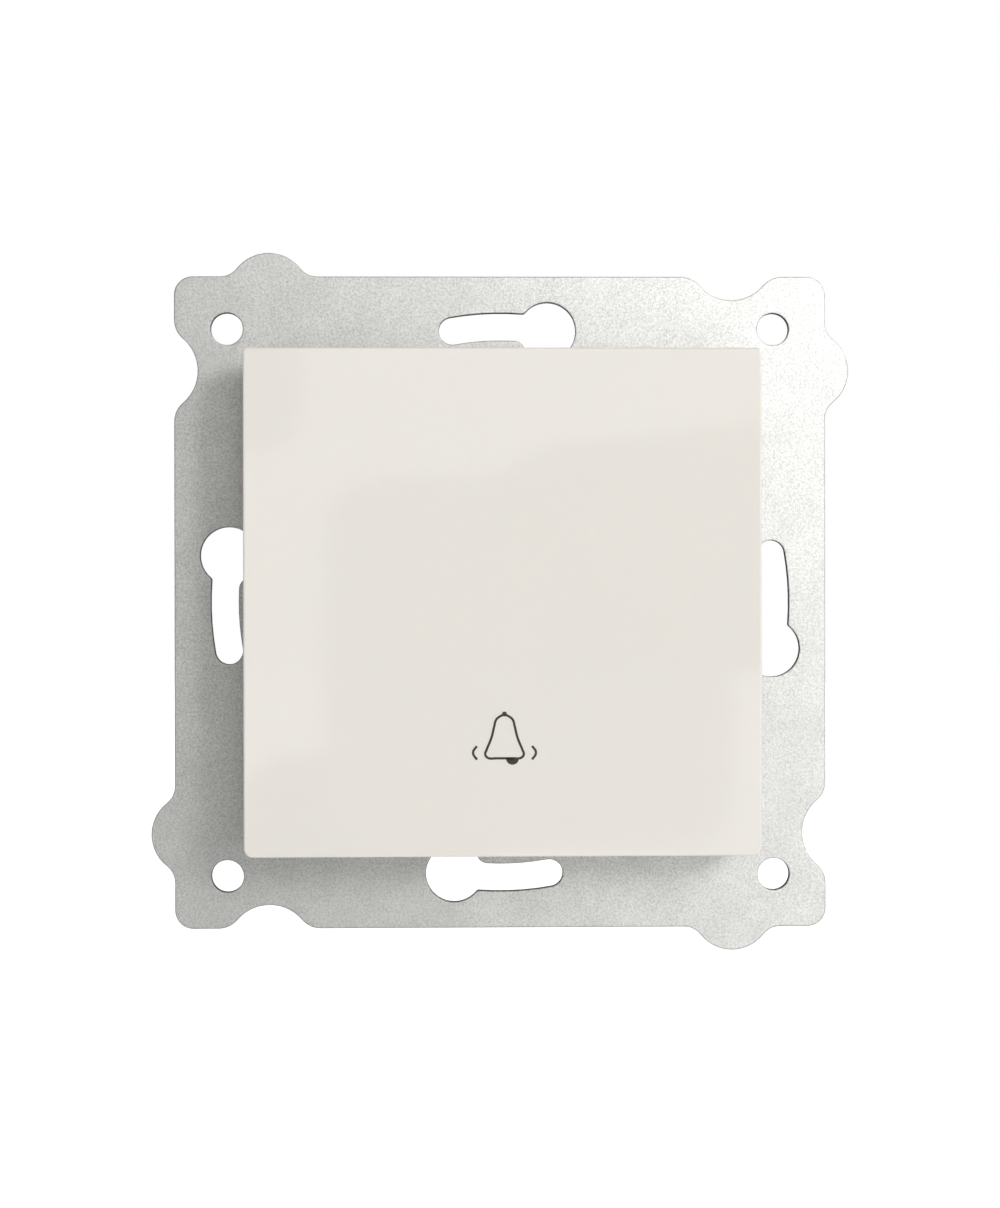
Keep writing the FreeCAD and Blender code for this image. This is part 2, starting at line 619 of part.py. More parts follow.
def contact_leaf():
    """A bent strip: a flat root under the rivet, a joggle, and a long free arm."""
    root_top = LEAF_ROOT_Z + LEAF_ROOT_HALF
    root_low = LEAF_ROOT_Z - LEAF_ROOT_HALF
    arm_top = root_low - LEAF_JOGGLE
    end = CONTACT_Z - LEAF_TAIL
    front = [(LEAF_ROOT_Y, root_top), (LEAF_ROOT_Y, root_low), (LEAF_FREE_Y, arm_top), (LEAF_FREE_Y, end)]
    back = [(y + LEAF_T, z) for y, z in reversed(front)]
    body = prism([Vector(-LEAF_WIDTH / 2, y, z) for y, z in front + back], X_AXIS * LEAF_WIDTH)
    cuts = []
    past = end - OVERCUT
    for side in (-1, 1):
        corners = [(side * LEAF_WIDTH / 2, arm_top), (side * LEAF_TIP_WIDTH / 2, past),
                   (side * LEAF_WIDTH, past), (side * LEAF_WIDTH, arm_top)]
        outline = [Vector(x, LEAF_FREE_Y - OVERCUT, z) for x, z in corners]
        cuts.append(prism(outline, Y_AXIS * (LEAF_T + 2 * OVERCUT)))
    for radius, y, z in ((ROOT_RIVET_R + LEAF_PLAY, LEAF_ROOT_Y, LEAF_ROOT_Z),
                         (CONTACT_SHANK_R + RUNNING, LEAF_FREE_Y, CONTACT_Z)):
        cuts.append(rod(radius, (0, y - OVERCUT, z), Y_AXIS, LEAF_T + 2 * OVERCUT))
    return body.cut(cuts)


def leaf_root_rivet():
    under = LEAF_ROOT_Y - LEAF_PLAY
    head = under - ROOT_RIVET_HEAD_T
    tail = STRIP_BACK + ROOT_RIVET_HEAD_T
    wide = ROOT_RIVET_HEAD_R
    return turned_profile([(0, head), (wide, head), (wide, under), (ROOT_RIVET_R, under),
                           (ROOT_RIVET_R, STRIP_BACK), (wide, STRIP_BACK), (wide, tail), (0, tail)],
                          0, LEAF_ROOT_Z)


def contact_rivet(tip, seat, far, tail):
    """A contact faced at tip and seated at seat, its shank through to far and its tail head at tail."""
    return turned_profile([(0, tip), (CONTACT_R, tip), (CONTACT_R, seat), (CONTACT_SHANK_R, seat),
                           (CONTACT_SHANK_R, far), (CONTACT_HEAD_R, far), (CONTACT_HEAD_R, tail), (0, tail)],
                          0, CONTACT_Z)


def fixed_contact_rivet():
    moving_tip = LEAF_FREE_Y + LEAF_T + MOVING_CONTACT_T
    return contact_rivet(moving_tip + CONTACT_GAP, STRIP_Y, STRIP_BACK, STRIP_BACK + CONTACT_HEAD_T)


def leaf_contact_rivet():
    back = LEAF_FREE_Y + LEAF_T
    return contact_rivet(back + MOVING_CONTACT_T, back, LEAF_FREE_Y, LEAF_FREE_Y - CONTACT_HEAD_T)


def terminal_block(x):
    w = TERMINAL_WIDTH / 2
    h = TERMINAL_HEIGHT / 2
    body = block(x - w, x + w, STRIP_BACK, FLOOR_FRONT, TERMINAL_Z - h, TERMINAL_Z + h)
    body = body.makeChamfer(TERMINAL_CHAMFER, edges_along(body, Y_AXIS))
    bore = rod(WIRE_BORE_R, (x, STRIP_BACK + WIRE_BORE_END, TERMINAL_Z), Y_AXIS, HOUSING_DEPTH)
    thread_start = (x, TERMINAL_SCREW_Y, TERMINAL_Z - h - OVERCUT)
    thread = rod(TERMINAL_SCREW_R + RUNNING, thread_start, Z_AXIS, h + OVERCUT)
    return body.cut([bore, thread])


def terminal_screw(x):
    tip = TERMINAL_Z - WIRE_BORE_R - SEAT
    under_head = TERMINAL_Z - TERMINAL_HEIGHT / 2 - TERMINAL_HEAD_GAP
    head_end = under_head - TERMINAL_HEAD_T
    shank = rod(TERMINAL_SCREW_R, (x, TERMINAL_SCREW_Y, under_head), Z_AXIS, tip - under_head)
    head = rod(TERMINAL_HEAD_R, (x, TERMINAL_SCREW_Y, head_end), Z_AXIS, TERMINAL_HEAD_T)
    slot = block(x - TERMINAL_HEAD_R, x + TERMINAL_HEAD_R, TERMINAL_SCREW_Y - DRIVE_SLOT / 2,
                 TERMINAL_SCREW_Y + DRIVE_SLOT / 2, head_end - OVERCUT, head_end + DRIVE_DEPTH)
    return fused([shank, head]).cut(slot)


def claw():
    """The right claw: a knuckle on its pins, a flat shank along the housing, and a toothed foot."""
    x0 = CLAW_PIVOT_X - CLAW_T / 2
    x1 = CLAW_PIVOT_X + CLAW_T / 2
    tip = x1 + CLAW_FOOT
    y1 = CLAW_FOOT_Y
    half = CLAW_HALF_WIDTH
    knuckle = rod(CLAW_KNUCKLE_R, (CLAW_PIVOT_X, CLAW_PIVOT_Y, -half), Z_AXIS, 2 * half)
    pin_end = half + LUG_PLAY + EAR_LUG_T
    pin = rod(CLAW_PIN_R, (CLAW_PIVOT_X, CLAW_PIVOT_Y, -pin_end), Z_AXIS, 2 * pin_end)
    bend = y1 - CLAW_T
    outline = [(x0, CLAW_PIVOT_Y), (x1, CLAW_PIVOT_Y), (x1, bend), (tip, bend), (tip, y1), (x0, y1)]
    strap = prism([Vector(x, y, -half) for x, y in outline], Z_AXIS * (2 * half))
    outer = edges_along(strap, Z_AXIS, lambda point: point.x < x0 + NEAR and point.y > y1 - NEAR)
    strap = strap.makeFillet(CLAW_BEND_R + CLAW_T, outer)
    inner = edges_along(strap, Z_AXIS, lambda point: abs(point.x - x1) < NEAR and abs(point.y - bend) < NEAR)
    strap = strap.makeFillet(CLAW_BEND_R, inner)
    step = 2 * half / CLAW_TEETH
    front = bend - CLAW_T
    cuts = [rod(CLAW_SCREW_R + LOOSE_THREAD, (CLAW_SCREW_X, front, 0), Y_AXIS, 3 * CLAW_T)]
    for index in range(1, CLAW_TEETH):
        z = -half + index * step
        corners = ((tip - CLAW_TOOTH, z), (tip, z - step / 2), (tip, z + step / 2))
        cuts.append(prism([Vector(x, front, level) for x, level in corners], Y_AXIS * (3 * CLAW_T)))
    return fused([knuckle, pin, strap]).cut(cuts)


def claw_screw():
    """The right claw's screw: its cone seat lets it lean in the plate's slot."""
    front = CLAW_HEAD_Y - CLAW_HEAD_FRONT
    end = CLAW_FOOT_Y + CLAW_SCREW_END
    slope = math.asin(CLAW_SLOT_R / CLAW_HEAD_R)
    rim_y = CLAW_HEAD_Y + (CLAW_HEAD_R - CLAW_HEAD_R * math.sin(slope)) / math.cos(slope)
    cone_end = CLAW_HEAD_Y + (CLAW_HEAD_R - CLAW_SCREW_R * math.sin(slope)) / math.cos(slope)
    screw = turned_profile([(0, front), (CLAW_HEAD_R, front), (CLAW_HEAD_R, rim_y), (CLAW_SCREW_R, cone_end),
                            (CLAW_SCREW_R, end), (0, end)], CLAW_SCREW_X, 0)
    past = CLAW_HEAD_R + OVERCUT
    slot = block(CLAW_SCREW_X - past, CLAW_SCREW_X + past, front - OVERCUT, front + DRIVE_DEPTH,
                 -DRIVE_SLOT / 2, DRIVE_SLOT / 2)
    return screw.cut(slot)


write("support_plate", support_plate())
write("housing", housing())
write("front_frame", front_frame())
write("housing_screws", Part.makeCompound(at_screws(housing_screw)))
write("rocker_carrier", rocker_carrier())
write("rocker_key", rocker_key())
write("return_spring", return_spring())
write("common_strip", common_strip())
write("contact_strip", contact_strip())
write("contact_leaf", contact_leaf())
write("leaf_root_rivet", leaf_root_rivet())
write("leaf_contact_rivet", leaf_contact_rivet())
write("fixed_contact_rivet", fixed_contact_rivet())
for label, direction in (("left", -1), ("right", 1)):
    write("terminal_block_" + label, terminal_block(direction * TERMINAL_X))
    write("terminal_screw_" + label, terminal_screw(direction * TERMINAL_X))
write("claw_right", claw())
write("claw_left", mirrored(claw()))
write("claw_screw_right", claw_screw())
write("claw_screw_left", mirrored(claw_screw()))
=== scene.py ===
# %% [markdown]
# # A doorbell push, dressed and photographed
# The object is a flush-mounted bell push: a square glossy key, sprung on a zinc-coated steel plate, with a
# contact housing behind it. Its construction is finished, and each piece is already at its real size and
# place. This lesson gives every piece its finish, adds what is too fine for the construction (the printed
# bell, the screw threads, a spring of round wire), and sets up a camera and soft lights.
# Loading the construction comes first, because all that follows measures itself against it.

# %% Load the mechanism
import math

import bpy
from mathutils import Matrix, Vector


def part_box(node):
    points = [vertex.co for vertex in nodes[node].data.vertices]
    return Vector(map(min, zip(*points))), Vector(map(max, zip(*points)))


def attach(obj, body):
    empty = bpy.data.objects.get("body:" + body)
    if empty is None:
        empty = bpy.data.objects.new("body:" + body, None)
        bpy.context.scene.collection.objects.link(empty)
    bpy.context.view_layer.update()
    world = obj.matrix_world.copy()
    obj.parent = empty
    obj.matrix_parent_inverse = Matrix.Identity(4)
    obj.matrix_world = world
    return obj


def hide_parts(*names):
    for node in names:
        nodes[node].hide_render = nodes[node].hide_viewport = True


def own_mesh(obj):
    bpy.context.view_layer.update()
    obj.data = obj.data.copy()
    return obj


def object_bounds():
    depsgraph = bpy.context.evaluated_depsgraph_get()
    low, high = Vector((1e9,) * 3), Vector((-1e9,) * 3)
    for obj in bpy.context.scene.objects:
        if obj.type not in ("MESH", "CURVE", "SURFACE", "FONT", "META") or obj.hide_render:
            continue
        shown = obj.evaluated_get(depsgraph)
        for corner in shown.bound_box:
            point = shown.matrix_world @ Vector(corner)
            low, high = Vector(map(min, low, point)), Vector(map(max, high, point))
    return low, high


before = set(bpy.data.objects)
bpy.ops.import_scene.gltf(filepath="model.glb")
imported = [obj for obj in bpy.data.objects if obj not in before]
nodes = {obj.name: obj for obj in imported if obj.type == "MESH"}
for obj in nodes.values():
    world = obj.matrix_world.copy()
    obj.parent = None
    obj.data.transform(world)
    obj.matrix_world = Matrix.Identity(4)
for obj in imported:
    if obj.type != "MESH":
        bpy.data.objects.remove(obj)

MM = 0.001
cad_low, cad_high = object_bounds()
bpy.ops.object.select_all(action="DESELECT")
print("pieces", len(nodes), "from", cad_low, "to", cad_high)

# %% [markdown]
# ## The camera
# A product photograph like this is taken straight on, from about 30 cm. At that distance the key, which
# stands proud of the plate, looks a little larger than it is, so the distance matters as much as the angle.
# The lens is worked out from its focal length in pixels, which says how large a millimetre looks at a given
# distance. The camera stands a little to the left and is turned a degree and a half to the right, so that
# the object is still in the middle.

# %% Set the camera
PICTURE_HEIGHT = 1208
FOCAL_PIXELS = 2744.7
SENSOR = 36.0
CAMERA_PLACE = (-7.76 * MM, -300 * MM, 0.25 * MM)
CAMERA_TURN = (89.913, 0.10, -1.47)

bpy.ops.object.camera_add(location=CAMERA_PLACE, rotation=[math.radians(angle) for angle in CAMERA_TURN])
camera = bpy.context.object
camera.name = "camera"
camera.data.sensor_width = SENSOR
camera.data.lens = FOCAL_PIXELS * SENSOR / PICTURE_HEIGHT
camera.data.clip_start = 10 * MM
bpy.context.scene.camera = camera
print("lens", round(camera.data.lens, 1), "mm")

# %% [markdown]
# ## A small kit for finishes
# A finish is a tree of shader nodes. Most finishes here need the same few things: a fine grain, a way to
# spread it between two values, and a bump. Writing these once as short functions keeps each finish down to
# the few lines that make it different. All patterns read Object coordinates in metres, so a grain of
# 0.2 mm is 0.2 mm on every piece. A value that is the same all over goes on the shader's own socket.

# %% Helpers for shader nodes
def plug(tree, value, socket):
    """Links another node's output to a socket, or writes a plain value there."""
    if isinstance(value, bpy.types.NodeSocket):
        tree.links.new(value, socket)
    else:
        socket.default_value = value


def add_node(tree, kind, inputs=(), **settings):
    """A new shader node with its settings and its inputs, by name or by number."""
    made = tree.nodes.new("ShaderNode" + kind)
    for name, value in settings.items():
        setattr(made, name, value)
    for name, value in dict(inputs).items():
        plug(tree, value, made.inputs[name])
    return made


def new_finish(name, colour, roughness, **uniform):
    """A material, its tree and its Principled shader, with the values that are the same all over."""
    material = bpy.data.materials.new(name)
    material.use_nodes = True
    tree = material.node_tree
    shader = tree.nodes["Principled BSDF"]
    shader.inputs["Base Color"].default_value = (*colour, 1)
    shader.inputs["Roughness"].default_value = roughness
    for socket, value in uniform.items():
        shader.inputs[socket.replace("_", " ")].default_value = value
    return material, tree, shader


# %% Helpers for patterns
def points(tree, stretch=(1, 1, 1)):
    """The point on the piece, in metres, with each axis stretched for a drawn-out pattern."""
    place = add_node(tree, "TexCoord").outputs["Object"]
    return add_node(tree, "Mapping", {"Vector": place, "Scale": stretch}).outputs["Vector"]


def grain(tree, size, where, detail=2.0, rough=0.5):
    """Smooth random noise whose spots are about this many millimetres across."""
    inputs = {"Vector": where, "Scale": 1 / (size * MM), "Detail": detail, "Roughness": rough}
    return add_node(tree, "TexNoise", inputs).outputs["Fac"]


def spread(tree, value, low, high, start=0.0, end=1.0):
    """A value between start and end, spread from low to high."""
    inputs = {"Value": value, "From Min": start, "From Max": end, "To Min": low, "To Max": high}
    return add_node(tree, "MapRange", inputs).outputs["Result"]


def mix_colours(tree, share, first, second):
    """The first colour where share is 0, and the second where it is 1."""
    made = add_node(tree, "Mix", data_type="RGBA")
    plug(tree, share, made.inputs["Factor"])
    for socket, colour in ((made.inputs[6], first), (made.inputs[7], second)):
        plug(tree, colour if isinstance(colour, bpy.types.NodeSocket) else (*colour, 1), socket)
    return made.outputs[2]


def shaded(colour, share):
    """The colour with its light cut down to this share."""
    return [channel * share for channel in colour]


def bump(tree, shader, height, depth, under=None):
    """Raises the surface by up to depth millimetres where height is 1."""
    made = add_node(tree, "Bump", {"Height": height, "Distance": depth * MM})
    if under is not None:
        plug(tree, under, made.inputs["Normal"])
    plug(tree, made.outputs["Normal"], shader.inputs["Normal"])
    return made.outputs["Normal"]


def ray_is(tree, *kinds):
    """1 for a ray of any of these kinds, such as "Camera", and 0 for others."""
    rays = add_node(tree, "LightPath")
    share = rays.outputs[f"Is {kinds[0]} Ray"]
    for kind in kinds[1:]:
        either = add_node(tree, "Math", {0: share, 1: rays.outputs[f"Is {kind} Ray"]}, operation="MAXIMUM")
        share = either.outputs["Value"]
    return share


def wear(*names, finish):
    """Puts one finish on the named nodes, in place of their plain colour."""
    for name in names:
        nodes[name].data.materials.clear()
        nodes[name].data.materials.append(finish)
    print(finish.name, "on", ", ".join(names))


# %% [markdown]
# ## The zinc-coated plate
# The plate is punched out of hot-dip galvanised strip. Its broad faces have a satin grey coat with a very
# fine dark speckle, faint clouds a few millimetres wide, and a few hairline scratches from handling. The
# punched edges are bare, dull steel, coloured far darker than steel as painted shade. The broad faces point
# along Y, so the Y part of the surface normal tells a face from an edge, and one material can cover both.
# Punching also rolls the rim over by a fraction of a millimetre. A Bevel node bends the normal there, which
# shades the roll without moving any mesh, and where that normal has turned far enough from the true one, the
# coat gives way to the colour of the bare edges, which makes a painted shade line along the rim.

# %% Finish of the plate
def broad_face(tree):
    """1 on the faces that look along Y, 0 on the punched edges."""
    normal = add_node(tree, "TexCoord").outputs["Normal"]
    across = add_node(tree, "SeparateXYZ", {"Vector": normal}).outputs["Y"]
    size = add_node(tree, "Math", {0: across}, operation="ABSOLUTE").outputs["Value"]
    return spread(tree, size, 0, 1, start=0.3, end=0.7)


ZINC_LIGHT = (0.79, 0.79, 0.765)
ZINC_DARK = (0.46, 0.46, 0.445)
# The colour of the punched edges: bare steel, made darker still as painted shade on the edge walls and the
# rolled rim.
PUNCHED_EDGE_AND_SHADE = (0.09, 0.09, 0.087)
ZINC_METALLIC = 0.85
ZINC_ROUGHNESS = (0.46, 0.34)
EDGE_ROLL = 0.22 * MM
SPECKLE_SIZE = 0.24
SPECKLE_DEPTH = 0.022
CLOUD_SIZE = 4.0
CLOUD_TONES = (0.84, 1.16)
SCRATCH_SIZE = 0.35
SCRATCH_STRETCH = (1, 1, 0.02)
SCRATCH_DEPTH = 0.002

galvanised, tree, shader = new_finish("galvanised_sheet", ZINC_LIGHT, 0.5, Specular_IOR_Level=0)
speckle = grain(tree, SPECKLE_SIZE, points(tree), detail=6, rough=0.9)
clouds = grain(tree, CLOUD_SIZE, points(tree), detail=5, rough=0.75)
light_share = spread(tree, speckle, 0, 1, start=0.38, end=0.58)
zinc = mix_colours(tree, light_share, ZINC_DARK, ZINC_LIGHT)
cloudy = add_node(tree, "HueSaturation", {"Color": zinc, "Value": spread(tree, clouds, *CLOUD_TONES)})
face = broad_face(tree)
rolled = add_node(tree, "Bevel", {"Radius": EDGE_ROLL}, samples=6).outputs["Normal"]
flat = add_node(tree, "NewGeometry").outputs["Normal"]
likeness = add_node(tree, "VectorMath", {0: rolled, 1: flat}, operation="DOT_PRODUCT").outputs["Value"]
# Painted shade: along the rolled rim the coat's colour gives way to the dark edge colour.
clear_of_painted_rim_shade = spread(tree, likeness, 0, 1, start=0.90, end=0.98)
coat = add_node(tree, "Math", {0: face, 1: clear_of_painted_rim_shade}, operation="MULTIPLY").outputs["Value"]
plug(tree, mix_colours(tree, coat, PUNCHED_EDGE_AND_SHADE, cloudy.outputs["Color"]), shader.inputs["Base Color"])
plug(tree, spread(tree, coat, 0.0, ZINC_METALLIC), shader.inputs["Metallic"])
plug(tree, spread(tree, speckle, *ZINC_ROUGHNESS, start=0.35, end=0.65), shader.inputs["Roughness"])
skin = bump(tree, shader, speckle, SPECKLE_DEPTH, under=rolled)
scratch = grain(tree, SCRATCH_SIZE, points(tree, stretch=SCRATCH_STRETCH), detail=1)
bump(tree, shader, spread(tree, scratch, 0, 1, start=0.70, end=0.76), SCRATCH_DEPTH, under=skin)
wear("support_plate", finish=galvanised)

# %% [markdown]
# ## The key
# The key is injection-moulded in a glossy cream plastic. Such a moulding takes a mirror polish from its
# mould, and then shrinks unevenly as it cools, so that reflections in it are sharp but very slightly wavy.
# The colour is nearly even. What gives it life is the reflection, so the finish is mostly gloss, plus a
# wave about a centimetre long that is far too shallow to see in the outline.

# %% Finish of the key
CREAM = (0.83, 0.80, 0.745)
CREAM_COOL = (0.825, 0.80, 0.75)
CREAM_WARM = (0.84, 0.80, 0.74)
TINT_SIZE = 14
WAVE_SIZE = 9
WAVE_DEPTH = 0.006

key_gloss, tree, shader = new_finish("cream_moulding", CREAM, 0.05, IOR=1.5, Subsurface_Weight=0.04,
                                     Subsurface_Scale=1 * MM)
tint = grain(tree, TINT_SIZE, points(tree))
plug(tree, mix_colours(tree, tint, CREAM_COOL, CREAM_WARM), shader.inputs["Base Color"])
wave = grain(tree, WAVE_SIZE, points(tree), detail=1)
bump(tree, shader, wave, WAVE_DEPTH)
wear("rocker_key", finish=key_gloss)

# %% [markdown]
# ## The other mouldings
# The carrier and the front frame are white, with the fine matt of a spark-eroded mould. The housing behind
# the plate is light grey and a little rougher. One function makes both: a grain far below a millimetre in
# the bump, and a slow change of gloss where the plastic flowed.

# %% Finish of the matt mouldings
FLOW_SIZE = 7
MATT_SIZE = 0.12
MATT_DEPTH = 0.008


def matt_moulding(name, colour, roughness):
    """A matt plastic, a little darker and glossier in slow patches, with a fine grain."""
    material, tree, shader = new_finish(name, colour, roughness, IOR=1.5)
    flow = grain(tree, FLOW_SIZE, points(tree))
    plug(tree, mix_colours(tree, flow, shaded(colour, 0.94), colour), shader.inputs["Base Color"])
    plug(tree, spread(tree, flow, roughness - 0.06, roughness + 0.08), shader.inputs["Roughness"])
    bump(tree, shader, grain(tree, MATT_SIZE, points(tree)), MATT_DEPTH)
    return material


wear("front_frame", "rocker_carrier", finish=matt_moulding("white_moulding", (0.80, 0.80, 0.77), 0.48))
wear("housing", finish=matt_moulding("grey_moulding", (0.52, 0.53, 0.54), 0.55))

# %% [markdown]
# ## Screws, claws and contacts
# The small metal parts differ in colour and in how they were made. Stamped brass has a straight rolling
# grain, turned or plated screws a fine even one, and drawn spring wire is nearly a mirror. Each gets its
# own colour, gloss and grain size through one function, with the grain drawn out along Z on rolled strip.

# %% Finish of the small metal parts
TARNISH_SIZE = 3
GRAIN_DEPTH = 0.006
ROLLED = (1, 1, 0.05)


def bright_metal(name, colour, roughness, grain_size, stretch=(1, 1, 1)):
    """A bare or plated metal, with tarnish in slow patches and a grain of the given size and stretch."""
    material, tree, shader = new_finish(name, colour, roughness, Metallic=1.0)
    lines = grain(tree, grain_size, points(tree, stretch), detail=3, rough=0.6)
    tarnish = grain(tree, TARNISH_SIZE, points(tree))
    plug(tree, mix_colours(tree, tarnish, shaded(colour, 0.78), colour), shader.inputs["Base Color"])
    plug(tree, spread(tree, lines, roughness - 0.08, roughness + 0.12), shader.inputs["Roughness"])
    bump(tree, shader, lines, GRAIN_DEPTH)
    return material


zinc_plate = bright_metal("zinc_plating", (0.66, 0.67, 0.68), 0.32, 0.15)
wear("housing_screws", "terminal_screw_left", "terminal_screw_right", "claw_screw_left",
     "claw_screw_right", finish=zinc_plate)
wear("claw_left", "claw_right", finish=bright_metal("stamped_steel", (0.60, 0.60, 0.60), 0.42, 0.2))
wear("terminal_block_left", "terminal_block_right", "common_strip", "contact_strip", "leaf_root_rivet",
     finish=bright_metal("brass", (0.76, 0.58, 0.28), 0.34, 0.2, ROLLED))
wear("contact_leaf", finish=bright_metal("spring_bronze", (0.70, 0.43, 0.24), 0.30, 0.15, ROLLED))
wear("leaf_contact_rivet", "fixed_contact_rivet",
     finish=bright_metal("silver", (0.88, 0.87, 0.84), 0.22, 0.2))
spring_wire = bright_metal("spring_wire", (0.52, 0.52, 0.53), 0.24, 0.1)

# %% [markdown]
# ## The printed bell
# A small bell is pad-printed on the lower half of the key, in thin dark lines. A texture could draw it,
# but lines cut out of mesh stay sharp from any distance. Each line is a curve through a few points, made a
# mesh, pulled out into a low wall, and given its width by a Solidify modifier. The key's face is a very
# shallow crown, so the height of each point follows that crown.

# %% Measure the key's face
key_low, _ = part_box("rocker_key")
FACE_FRONT = key_low.y
FACE_CROWN = 1500 * MM
PRINT_MIDDLE = 0.12
MERGE_DISTANCE = 0.001 * MM
LINE_WIDTH = 0.25 * MM
INK_ABOVE = 0.012 * MM
INK_BELOW = 0.03 * MM


def on_face(x, z):
    """A point of the key's crowned front, in millimetres across from the print's middle and up."""
    return Vector(((x + PRINT_MIDDLE) * MM, FACE_FRONT + (z * MM) ** 2 / (2 * FACE_CROWN), z * MM))


print("key face at", round(FACE_FRONT / MM, 2), "mm")

# %% Draw one line of the print
def activate(piece):
    """Selects one piece alone, and makes it the one that operators act on."""
    bpy.ops.object.select_all(action="DESELECT")
    piece.select_set(True)
    bpy.context.view_layer.objects.active = piece


def finish_modifier(piece, kind, **settings):
    """Adds a modifier to a piece and applies it."""
    activate(piece)
    made = piece.modifiers.new(kind.title(), kind)
    for name, value in settings.items():
        setattr(made, name, value)
    bpy.ops.object.modifier_apply(modifier=made.name)


def printed_line(name, places, closed=False):
    """A thin line of ink along a smooth curve through the places, given in millimetres on the face."""
    bpy.ops.curve.primitive_bezier_curve_add()
    curve = bpy.context.object
    curve.name = name
    spline = curve.data.splines[0]
    spline.bezier_points.add(len(places) - 2)
    for knot, place in zip(spline.bezier_points, places):
        knot.co = on_face(*place)
        knot.handle_left_type = knot.handle_right_type = "AUTO"
    spline.use_cyclic_u = closed
    bpy.ops.object.convert(target="MESH")
    bpy.ops.object.mode_set(mode="EDIT")
    bpy.ops.mesh.select_all(action="SELECT")
    bpy.ops.transform.translate(value=(0, INK_BELOW, 0))
    bpy.ops.mesh.extrude_edges_move(TRANSFORM_OT_translate={"value": (0, -INK_BELOW - INK_ABOVE, 0)})
    bpy.ops.mesh.remove_doubles(threshold=MERGE_DISTANCE)
    bpy.ops.object.mode_set(mode="OBJECT")
    line = bpy.context.object
    finish_modifier(line, "SOLIDIFY", thickness=LINE_WIDTH, offset=0, use_even_offset=True)
    return line


# %% [markdown]
# The bell's outline is the same on both sides, so its right half is written once and mirrored by its sign.
# It runs from the crown over the shoulder, down the side and out into the lip. The clapper shows below the
# lip, a little to the right, and one short arc on each side of the lip stands for its ringing.

# %% Print the bell
BELL_TOP = -11.9
BELL_LIP = -16.48
SIDE = [(0.5, -12.07), (0.88, -12.42), (1.08, -13.1), (1.38, -14.3), (1.92, -15.65), (2.04, -16.0)]
FOOT = [(1.92, -16.3), (1.6, BELL_LIP), (1.0, BELL_LIP)]
RINGING = [(2.92, -15.18), (3.32, -15.87), (2.92, -16.62)]

half = SIDE + FOOT
bell_places = [(0, BELL_TOP)] + half + [(-x, z) for x, z in reversed(half)]
ink_lines = [printed_line("bell_outline", bell_places, closed=True)]
for side in (-1, 1):
    ink_lines.append(printed_line("ringing_mark", [(side * x, z) for x, z in RINGING]))
print("lines printed", len(ink_lines))

# %% Print the knob and the clapper
DISC_SIDES = 32
KNOB_RADIUS = 0.26
KNOB_RISE = 0.1
CLAPPER_RADIUS = 0.68
CLAPPER_CENTRE = (0.84, BELL_LIP)


def printed_disc(name, x, z, radius, keep_below=None):
    """A filled disc of ink, cut off straight above keep_below if that is given."""
    middle = on_face(x, z) + Vector((0, (INK_BELOW - INK_ABOVE) / 2, 0))
    bpy.ops.mesh.primitive_cylinder_add(vertices=DISC_SIDES, radius=radius * MM, depth=INK_ABOVE + INK_BELOW,
                                        location=middle, rotation=(math.pi / 2, 0, 0))
    disc = bpy.context.object
    disc.name = name
    bpy.ops.object.transform_apply(location=True, rotation=True, scale=True)
    bpy.ops.object.mode_set(mode="EDIT")
    bpy.ops.mesh.select_all(action="SELECT")
    if keep_below is not None:
        bpy.ops.mesh.bisect(plane_co=(0, 0, keep_below * MM), plane_no=(0, 0, 1), use_fill=True,
                            clear_outer=True)
    bpy.ops.object.mode_set(mode="OBJECT")
    return disc


ink_lines.append(printed_disc("knob", 0, BELL_TOP + KNOB_RISE, KNOB_RADIUS))
ink_lines.append(printed_disc("clapper", *CLAPPER_CENTRE, CLAPPER_RADIUS, keep_below=BELL_LIP))

# %% Join the print and ink it
INK = (0.035, 0.03, 0.026)
INK_THICK = (0.022, 0.019, 0.016)
INK_THIN = (0.05, 0.045, 0.038)
COVER_SIZE = 0.12

activate(ink_lines[0])
for line in ink_lines:
    line.select_set(True)
bpy.ops.object.join()
bell_print = bpy.context.object
bell_print.name = "bell_print"
bpy.ops.object.transform_apply(location=True, rotation=True, scale=True)

ink, tree, shader = new_finish("printing_ink", INK, 0.45)
cover = grain(tree, COVER_SIZE, points(tree))
plug(tree, mix_colours(tree, cover, INK_THICK, INK_THIN), shader.inputs["Base Color"])
bell_print.data.materials.clear()
bell_print.data.materials.append(ink)
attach(bell_print, "rocker")
print("bell_print faces", len(bell_print.data.polygons))

# %% [markdown]
# ## Threads and the return spring
# A thread and a coil spring are the same form: a small section that turns about a line while it moves along
# it. The Screw modifier does both at once. On the claws' long screws the section is a V-shaped ridge, sunk
# into the shank so that only its crest shows. On the spring it is round wire.

# %% Wind a section round a line
STEPS_PER_TURN = 24


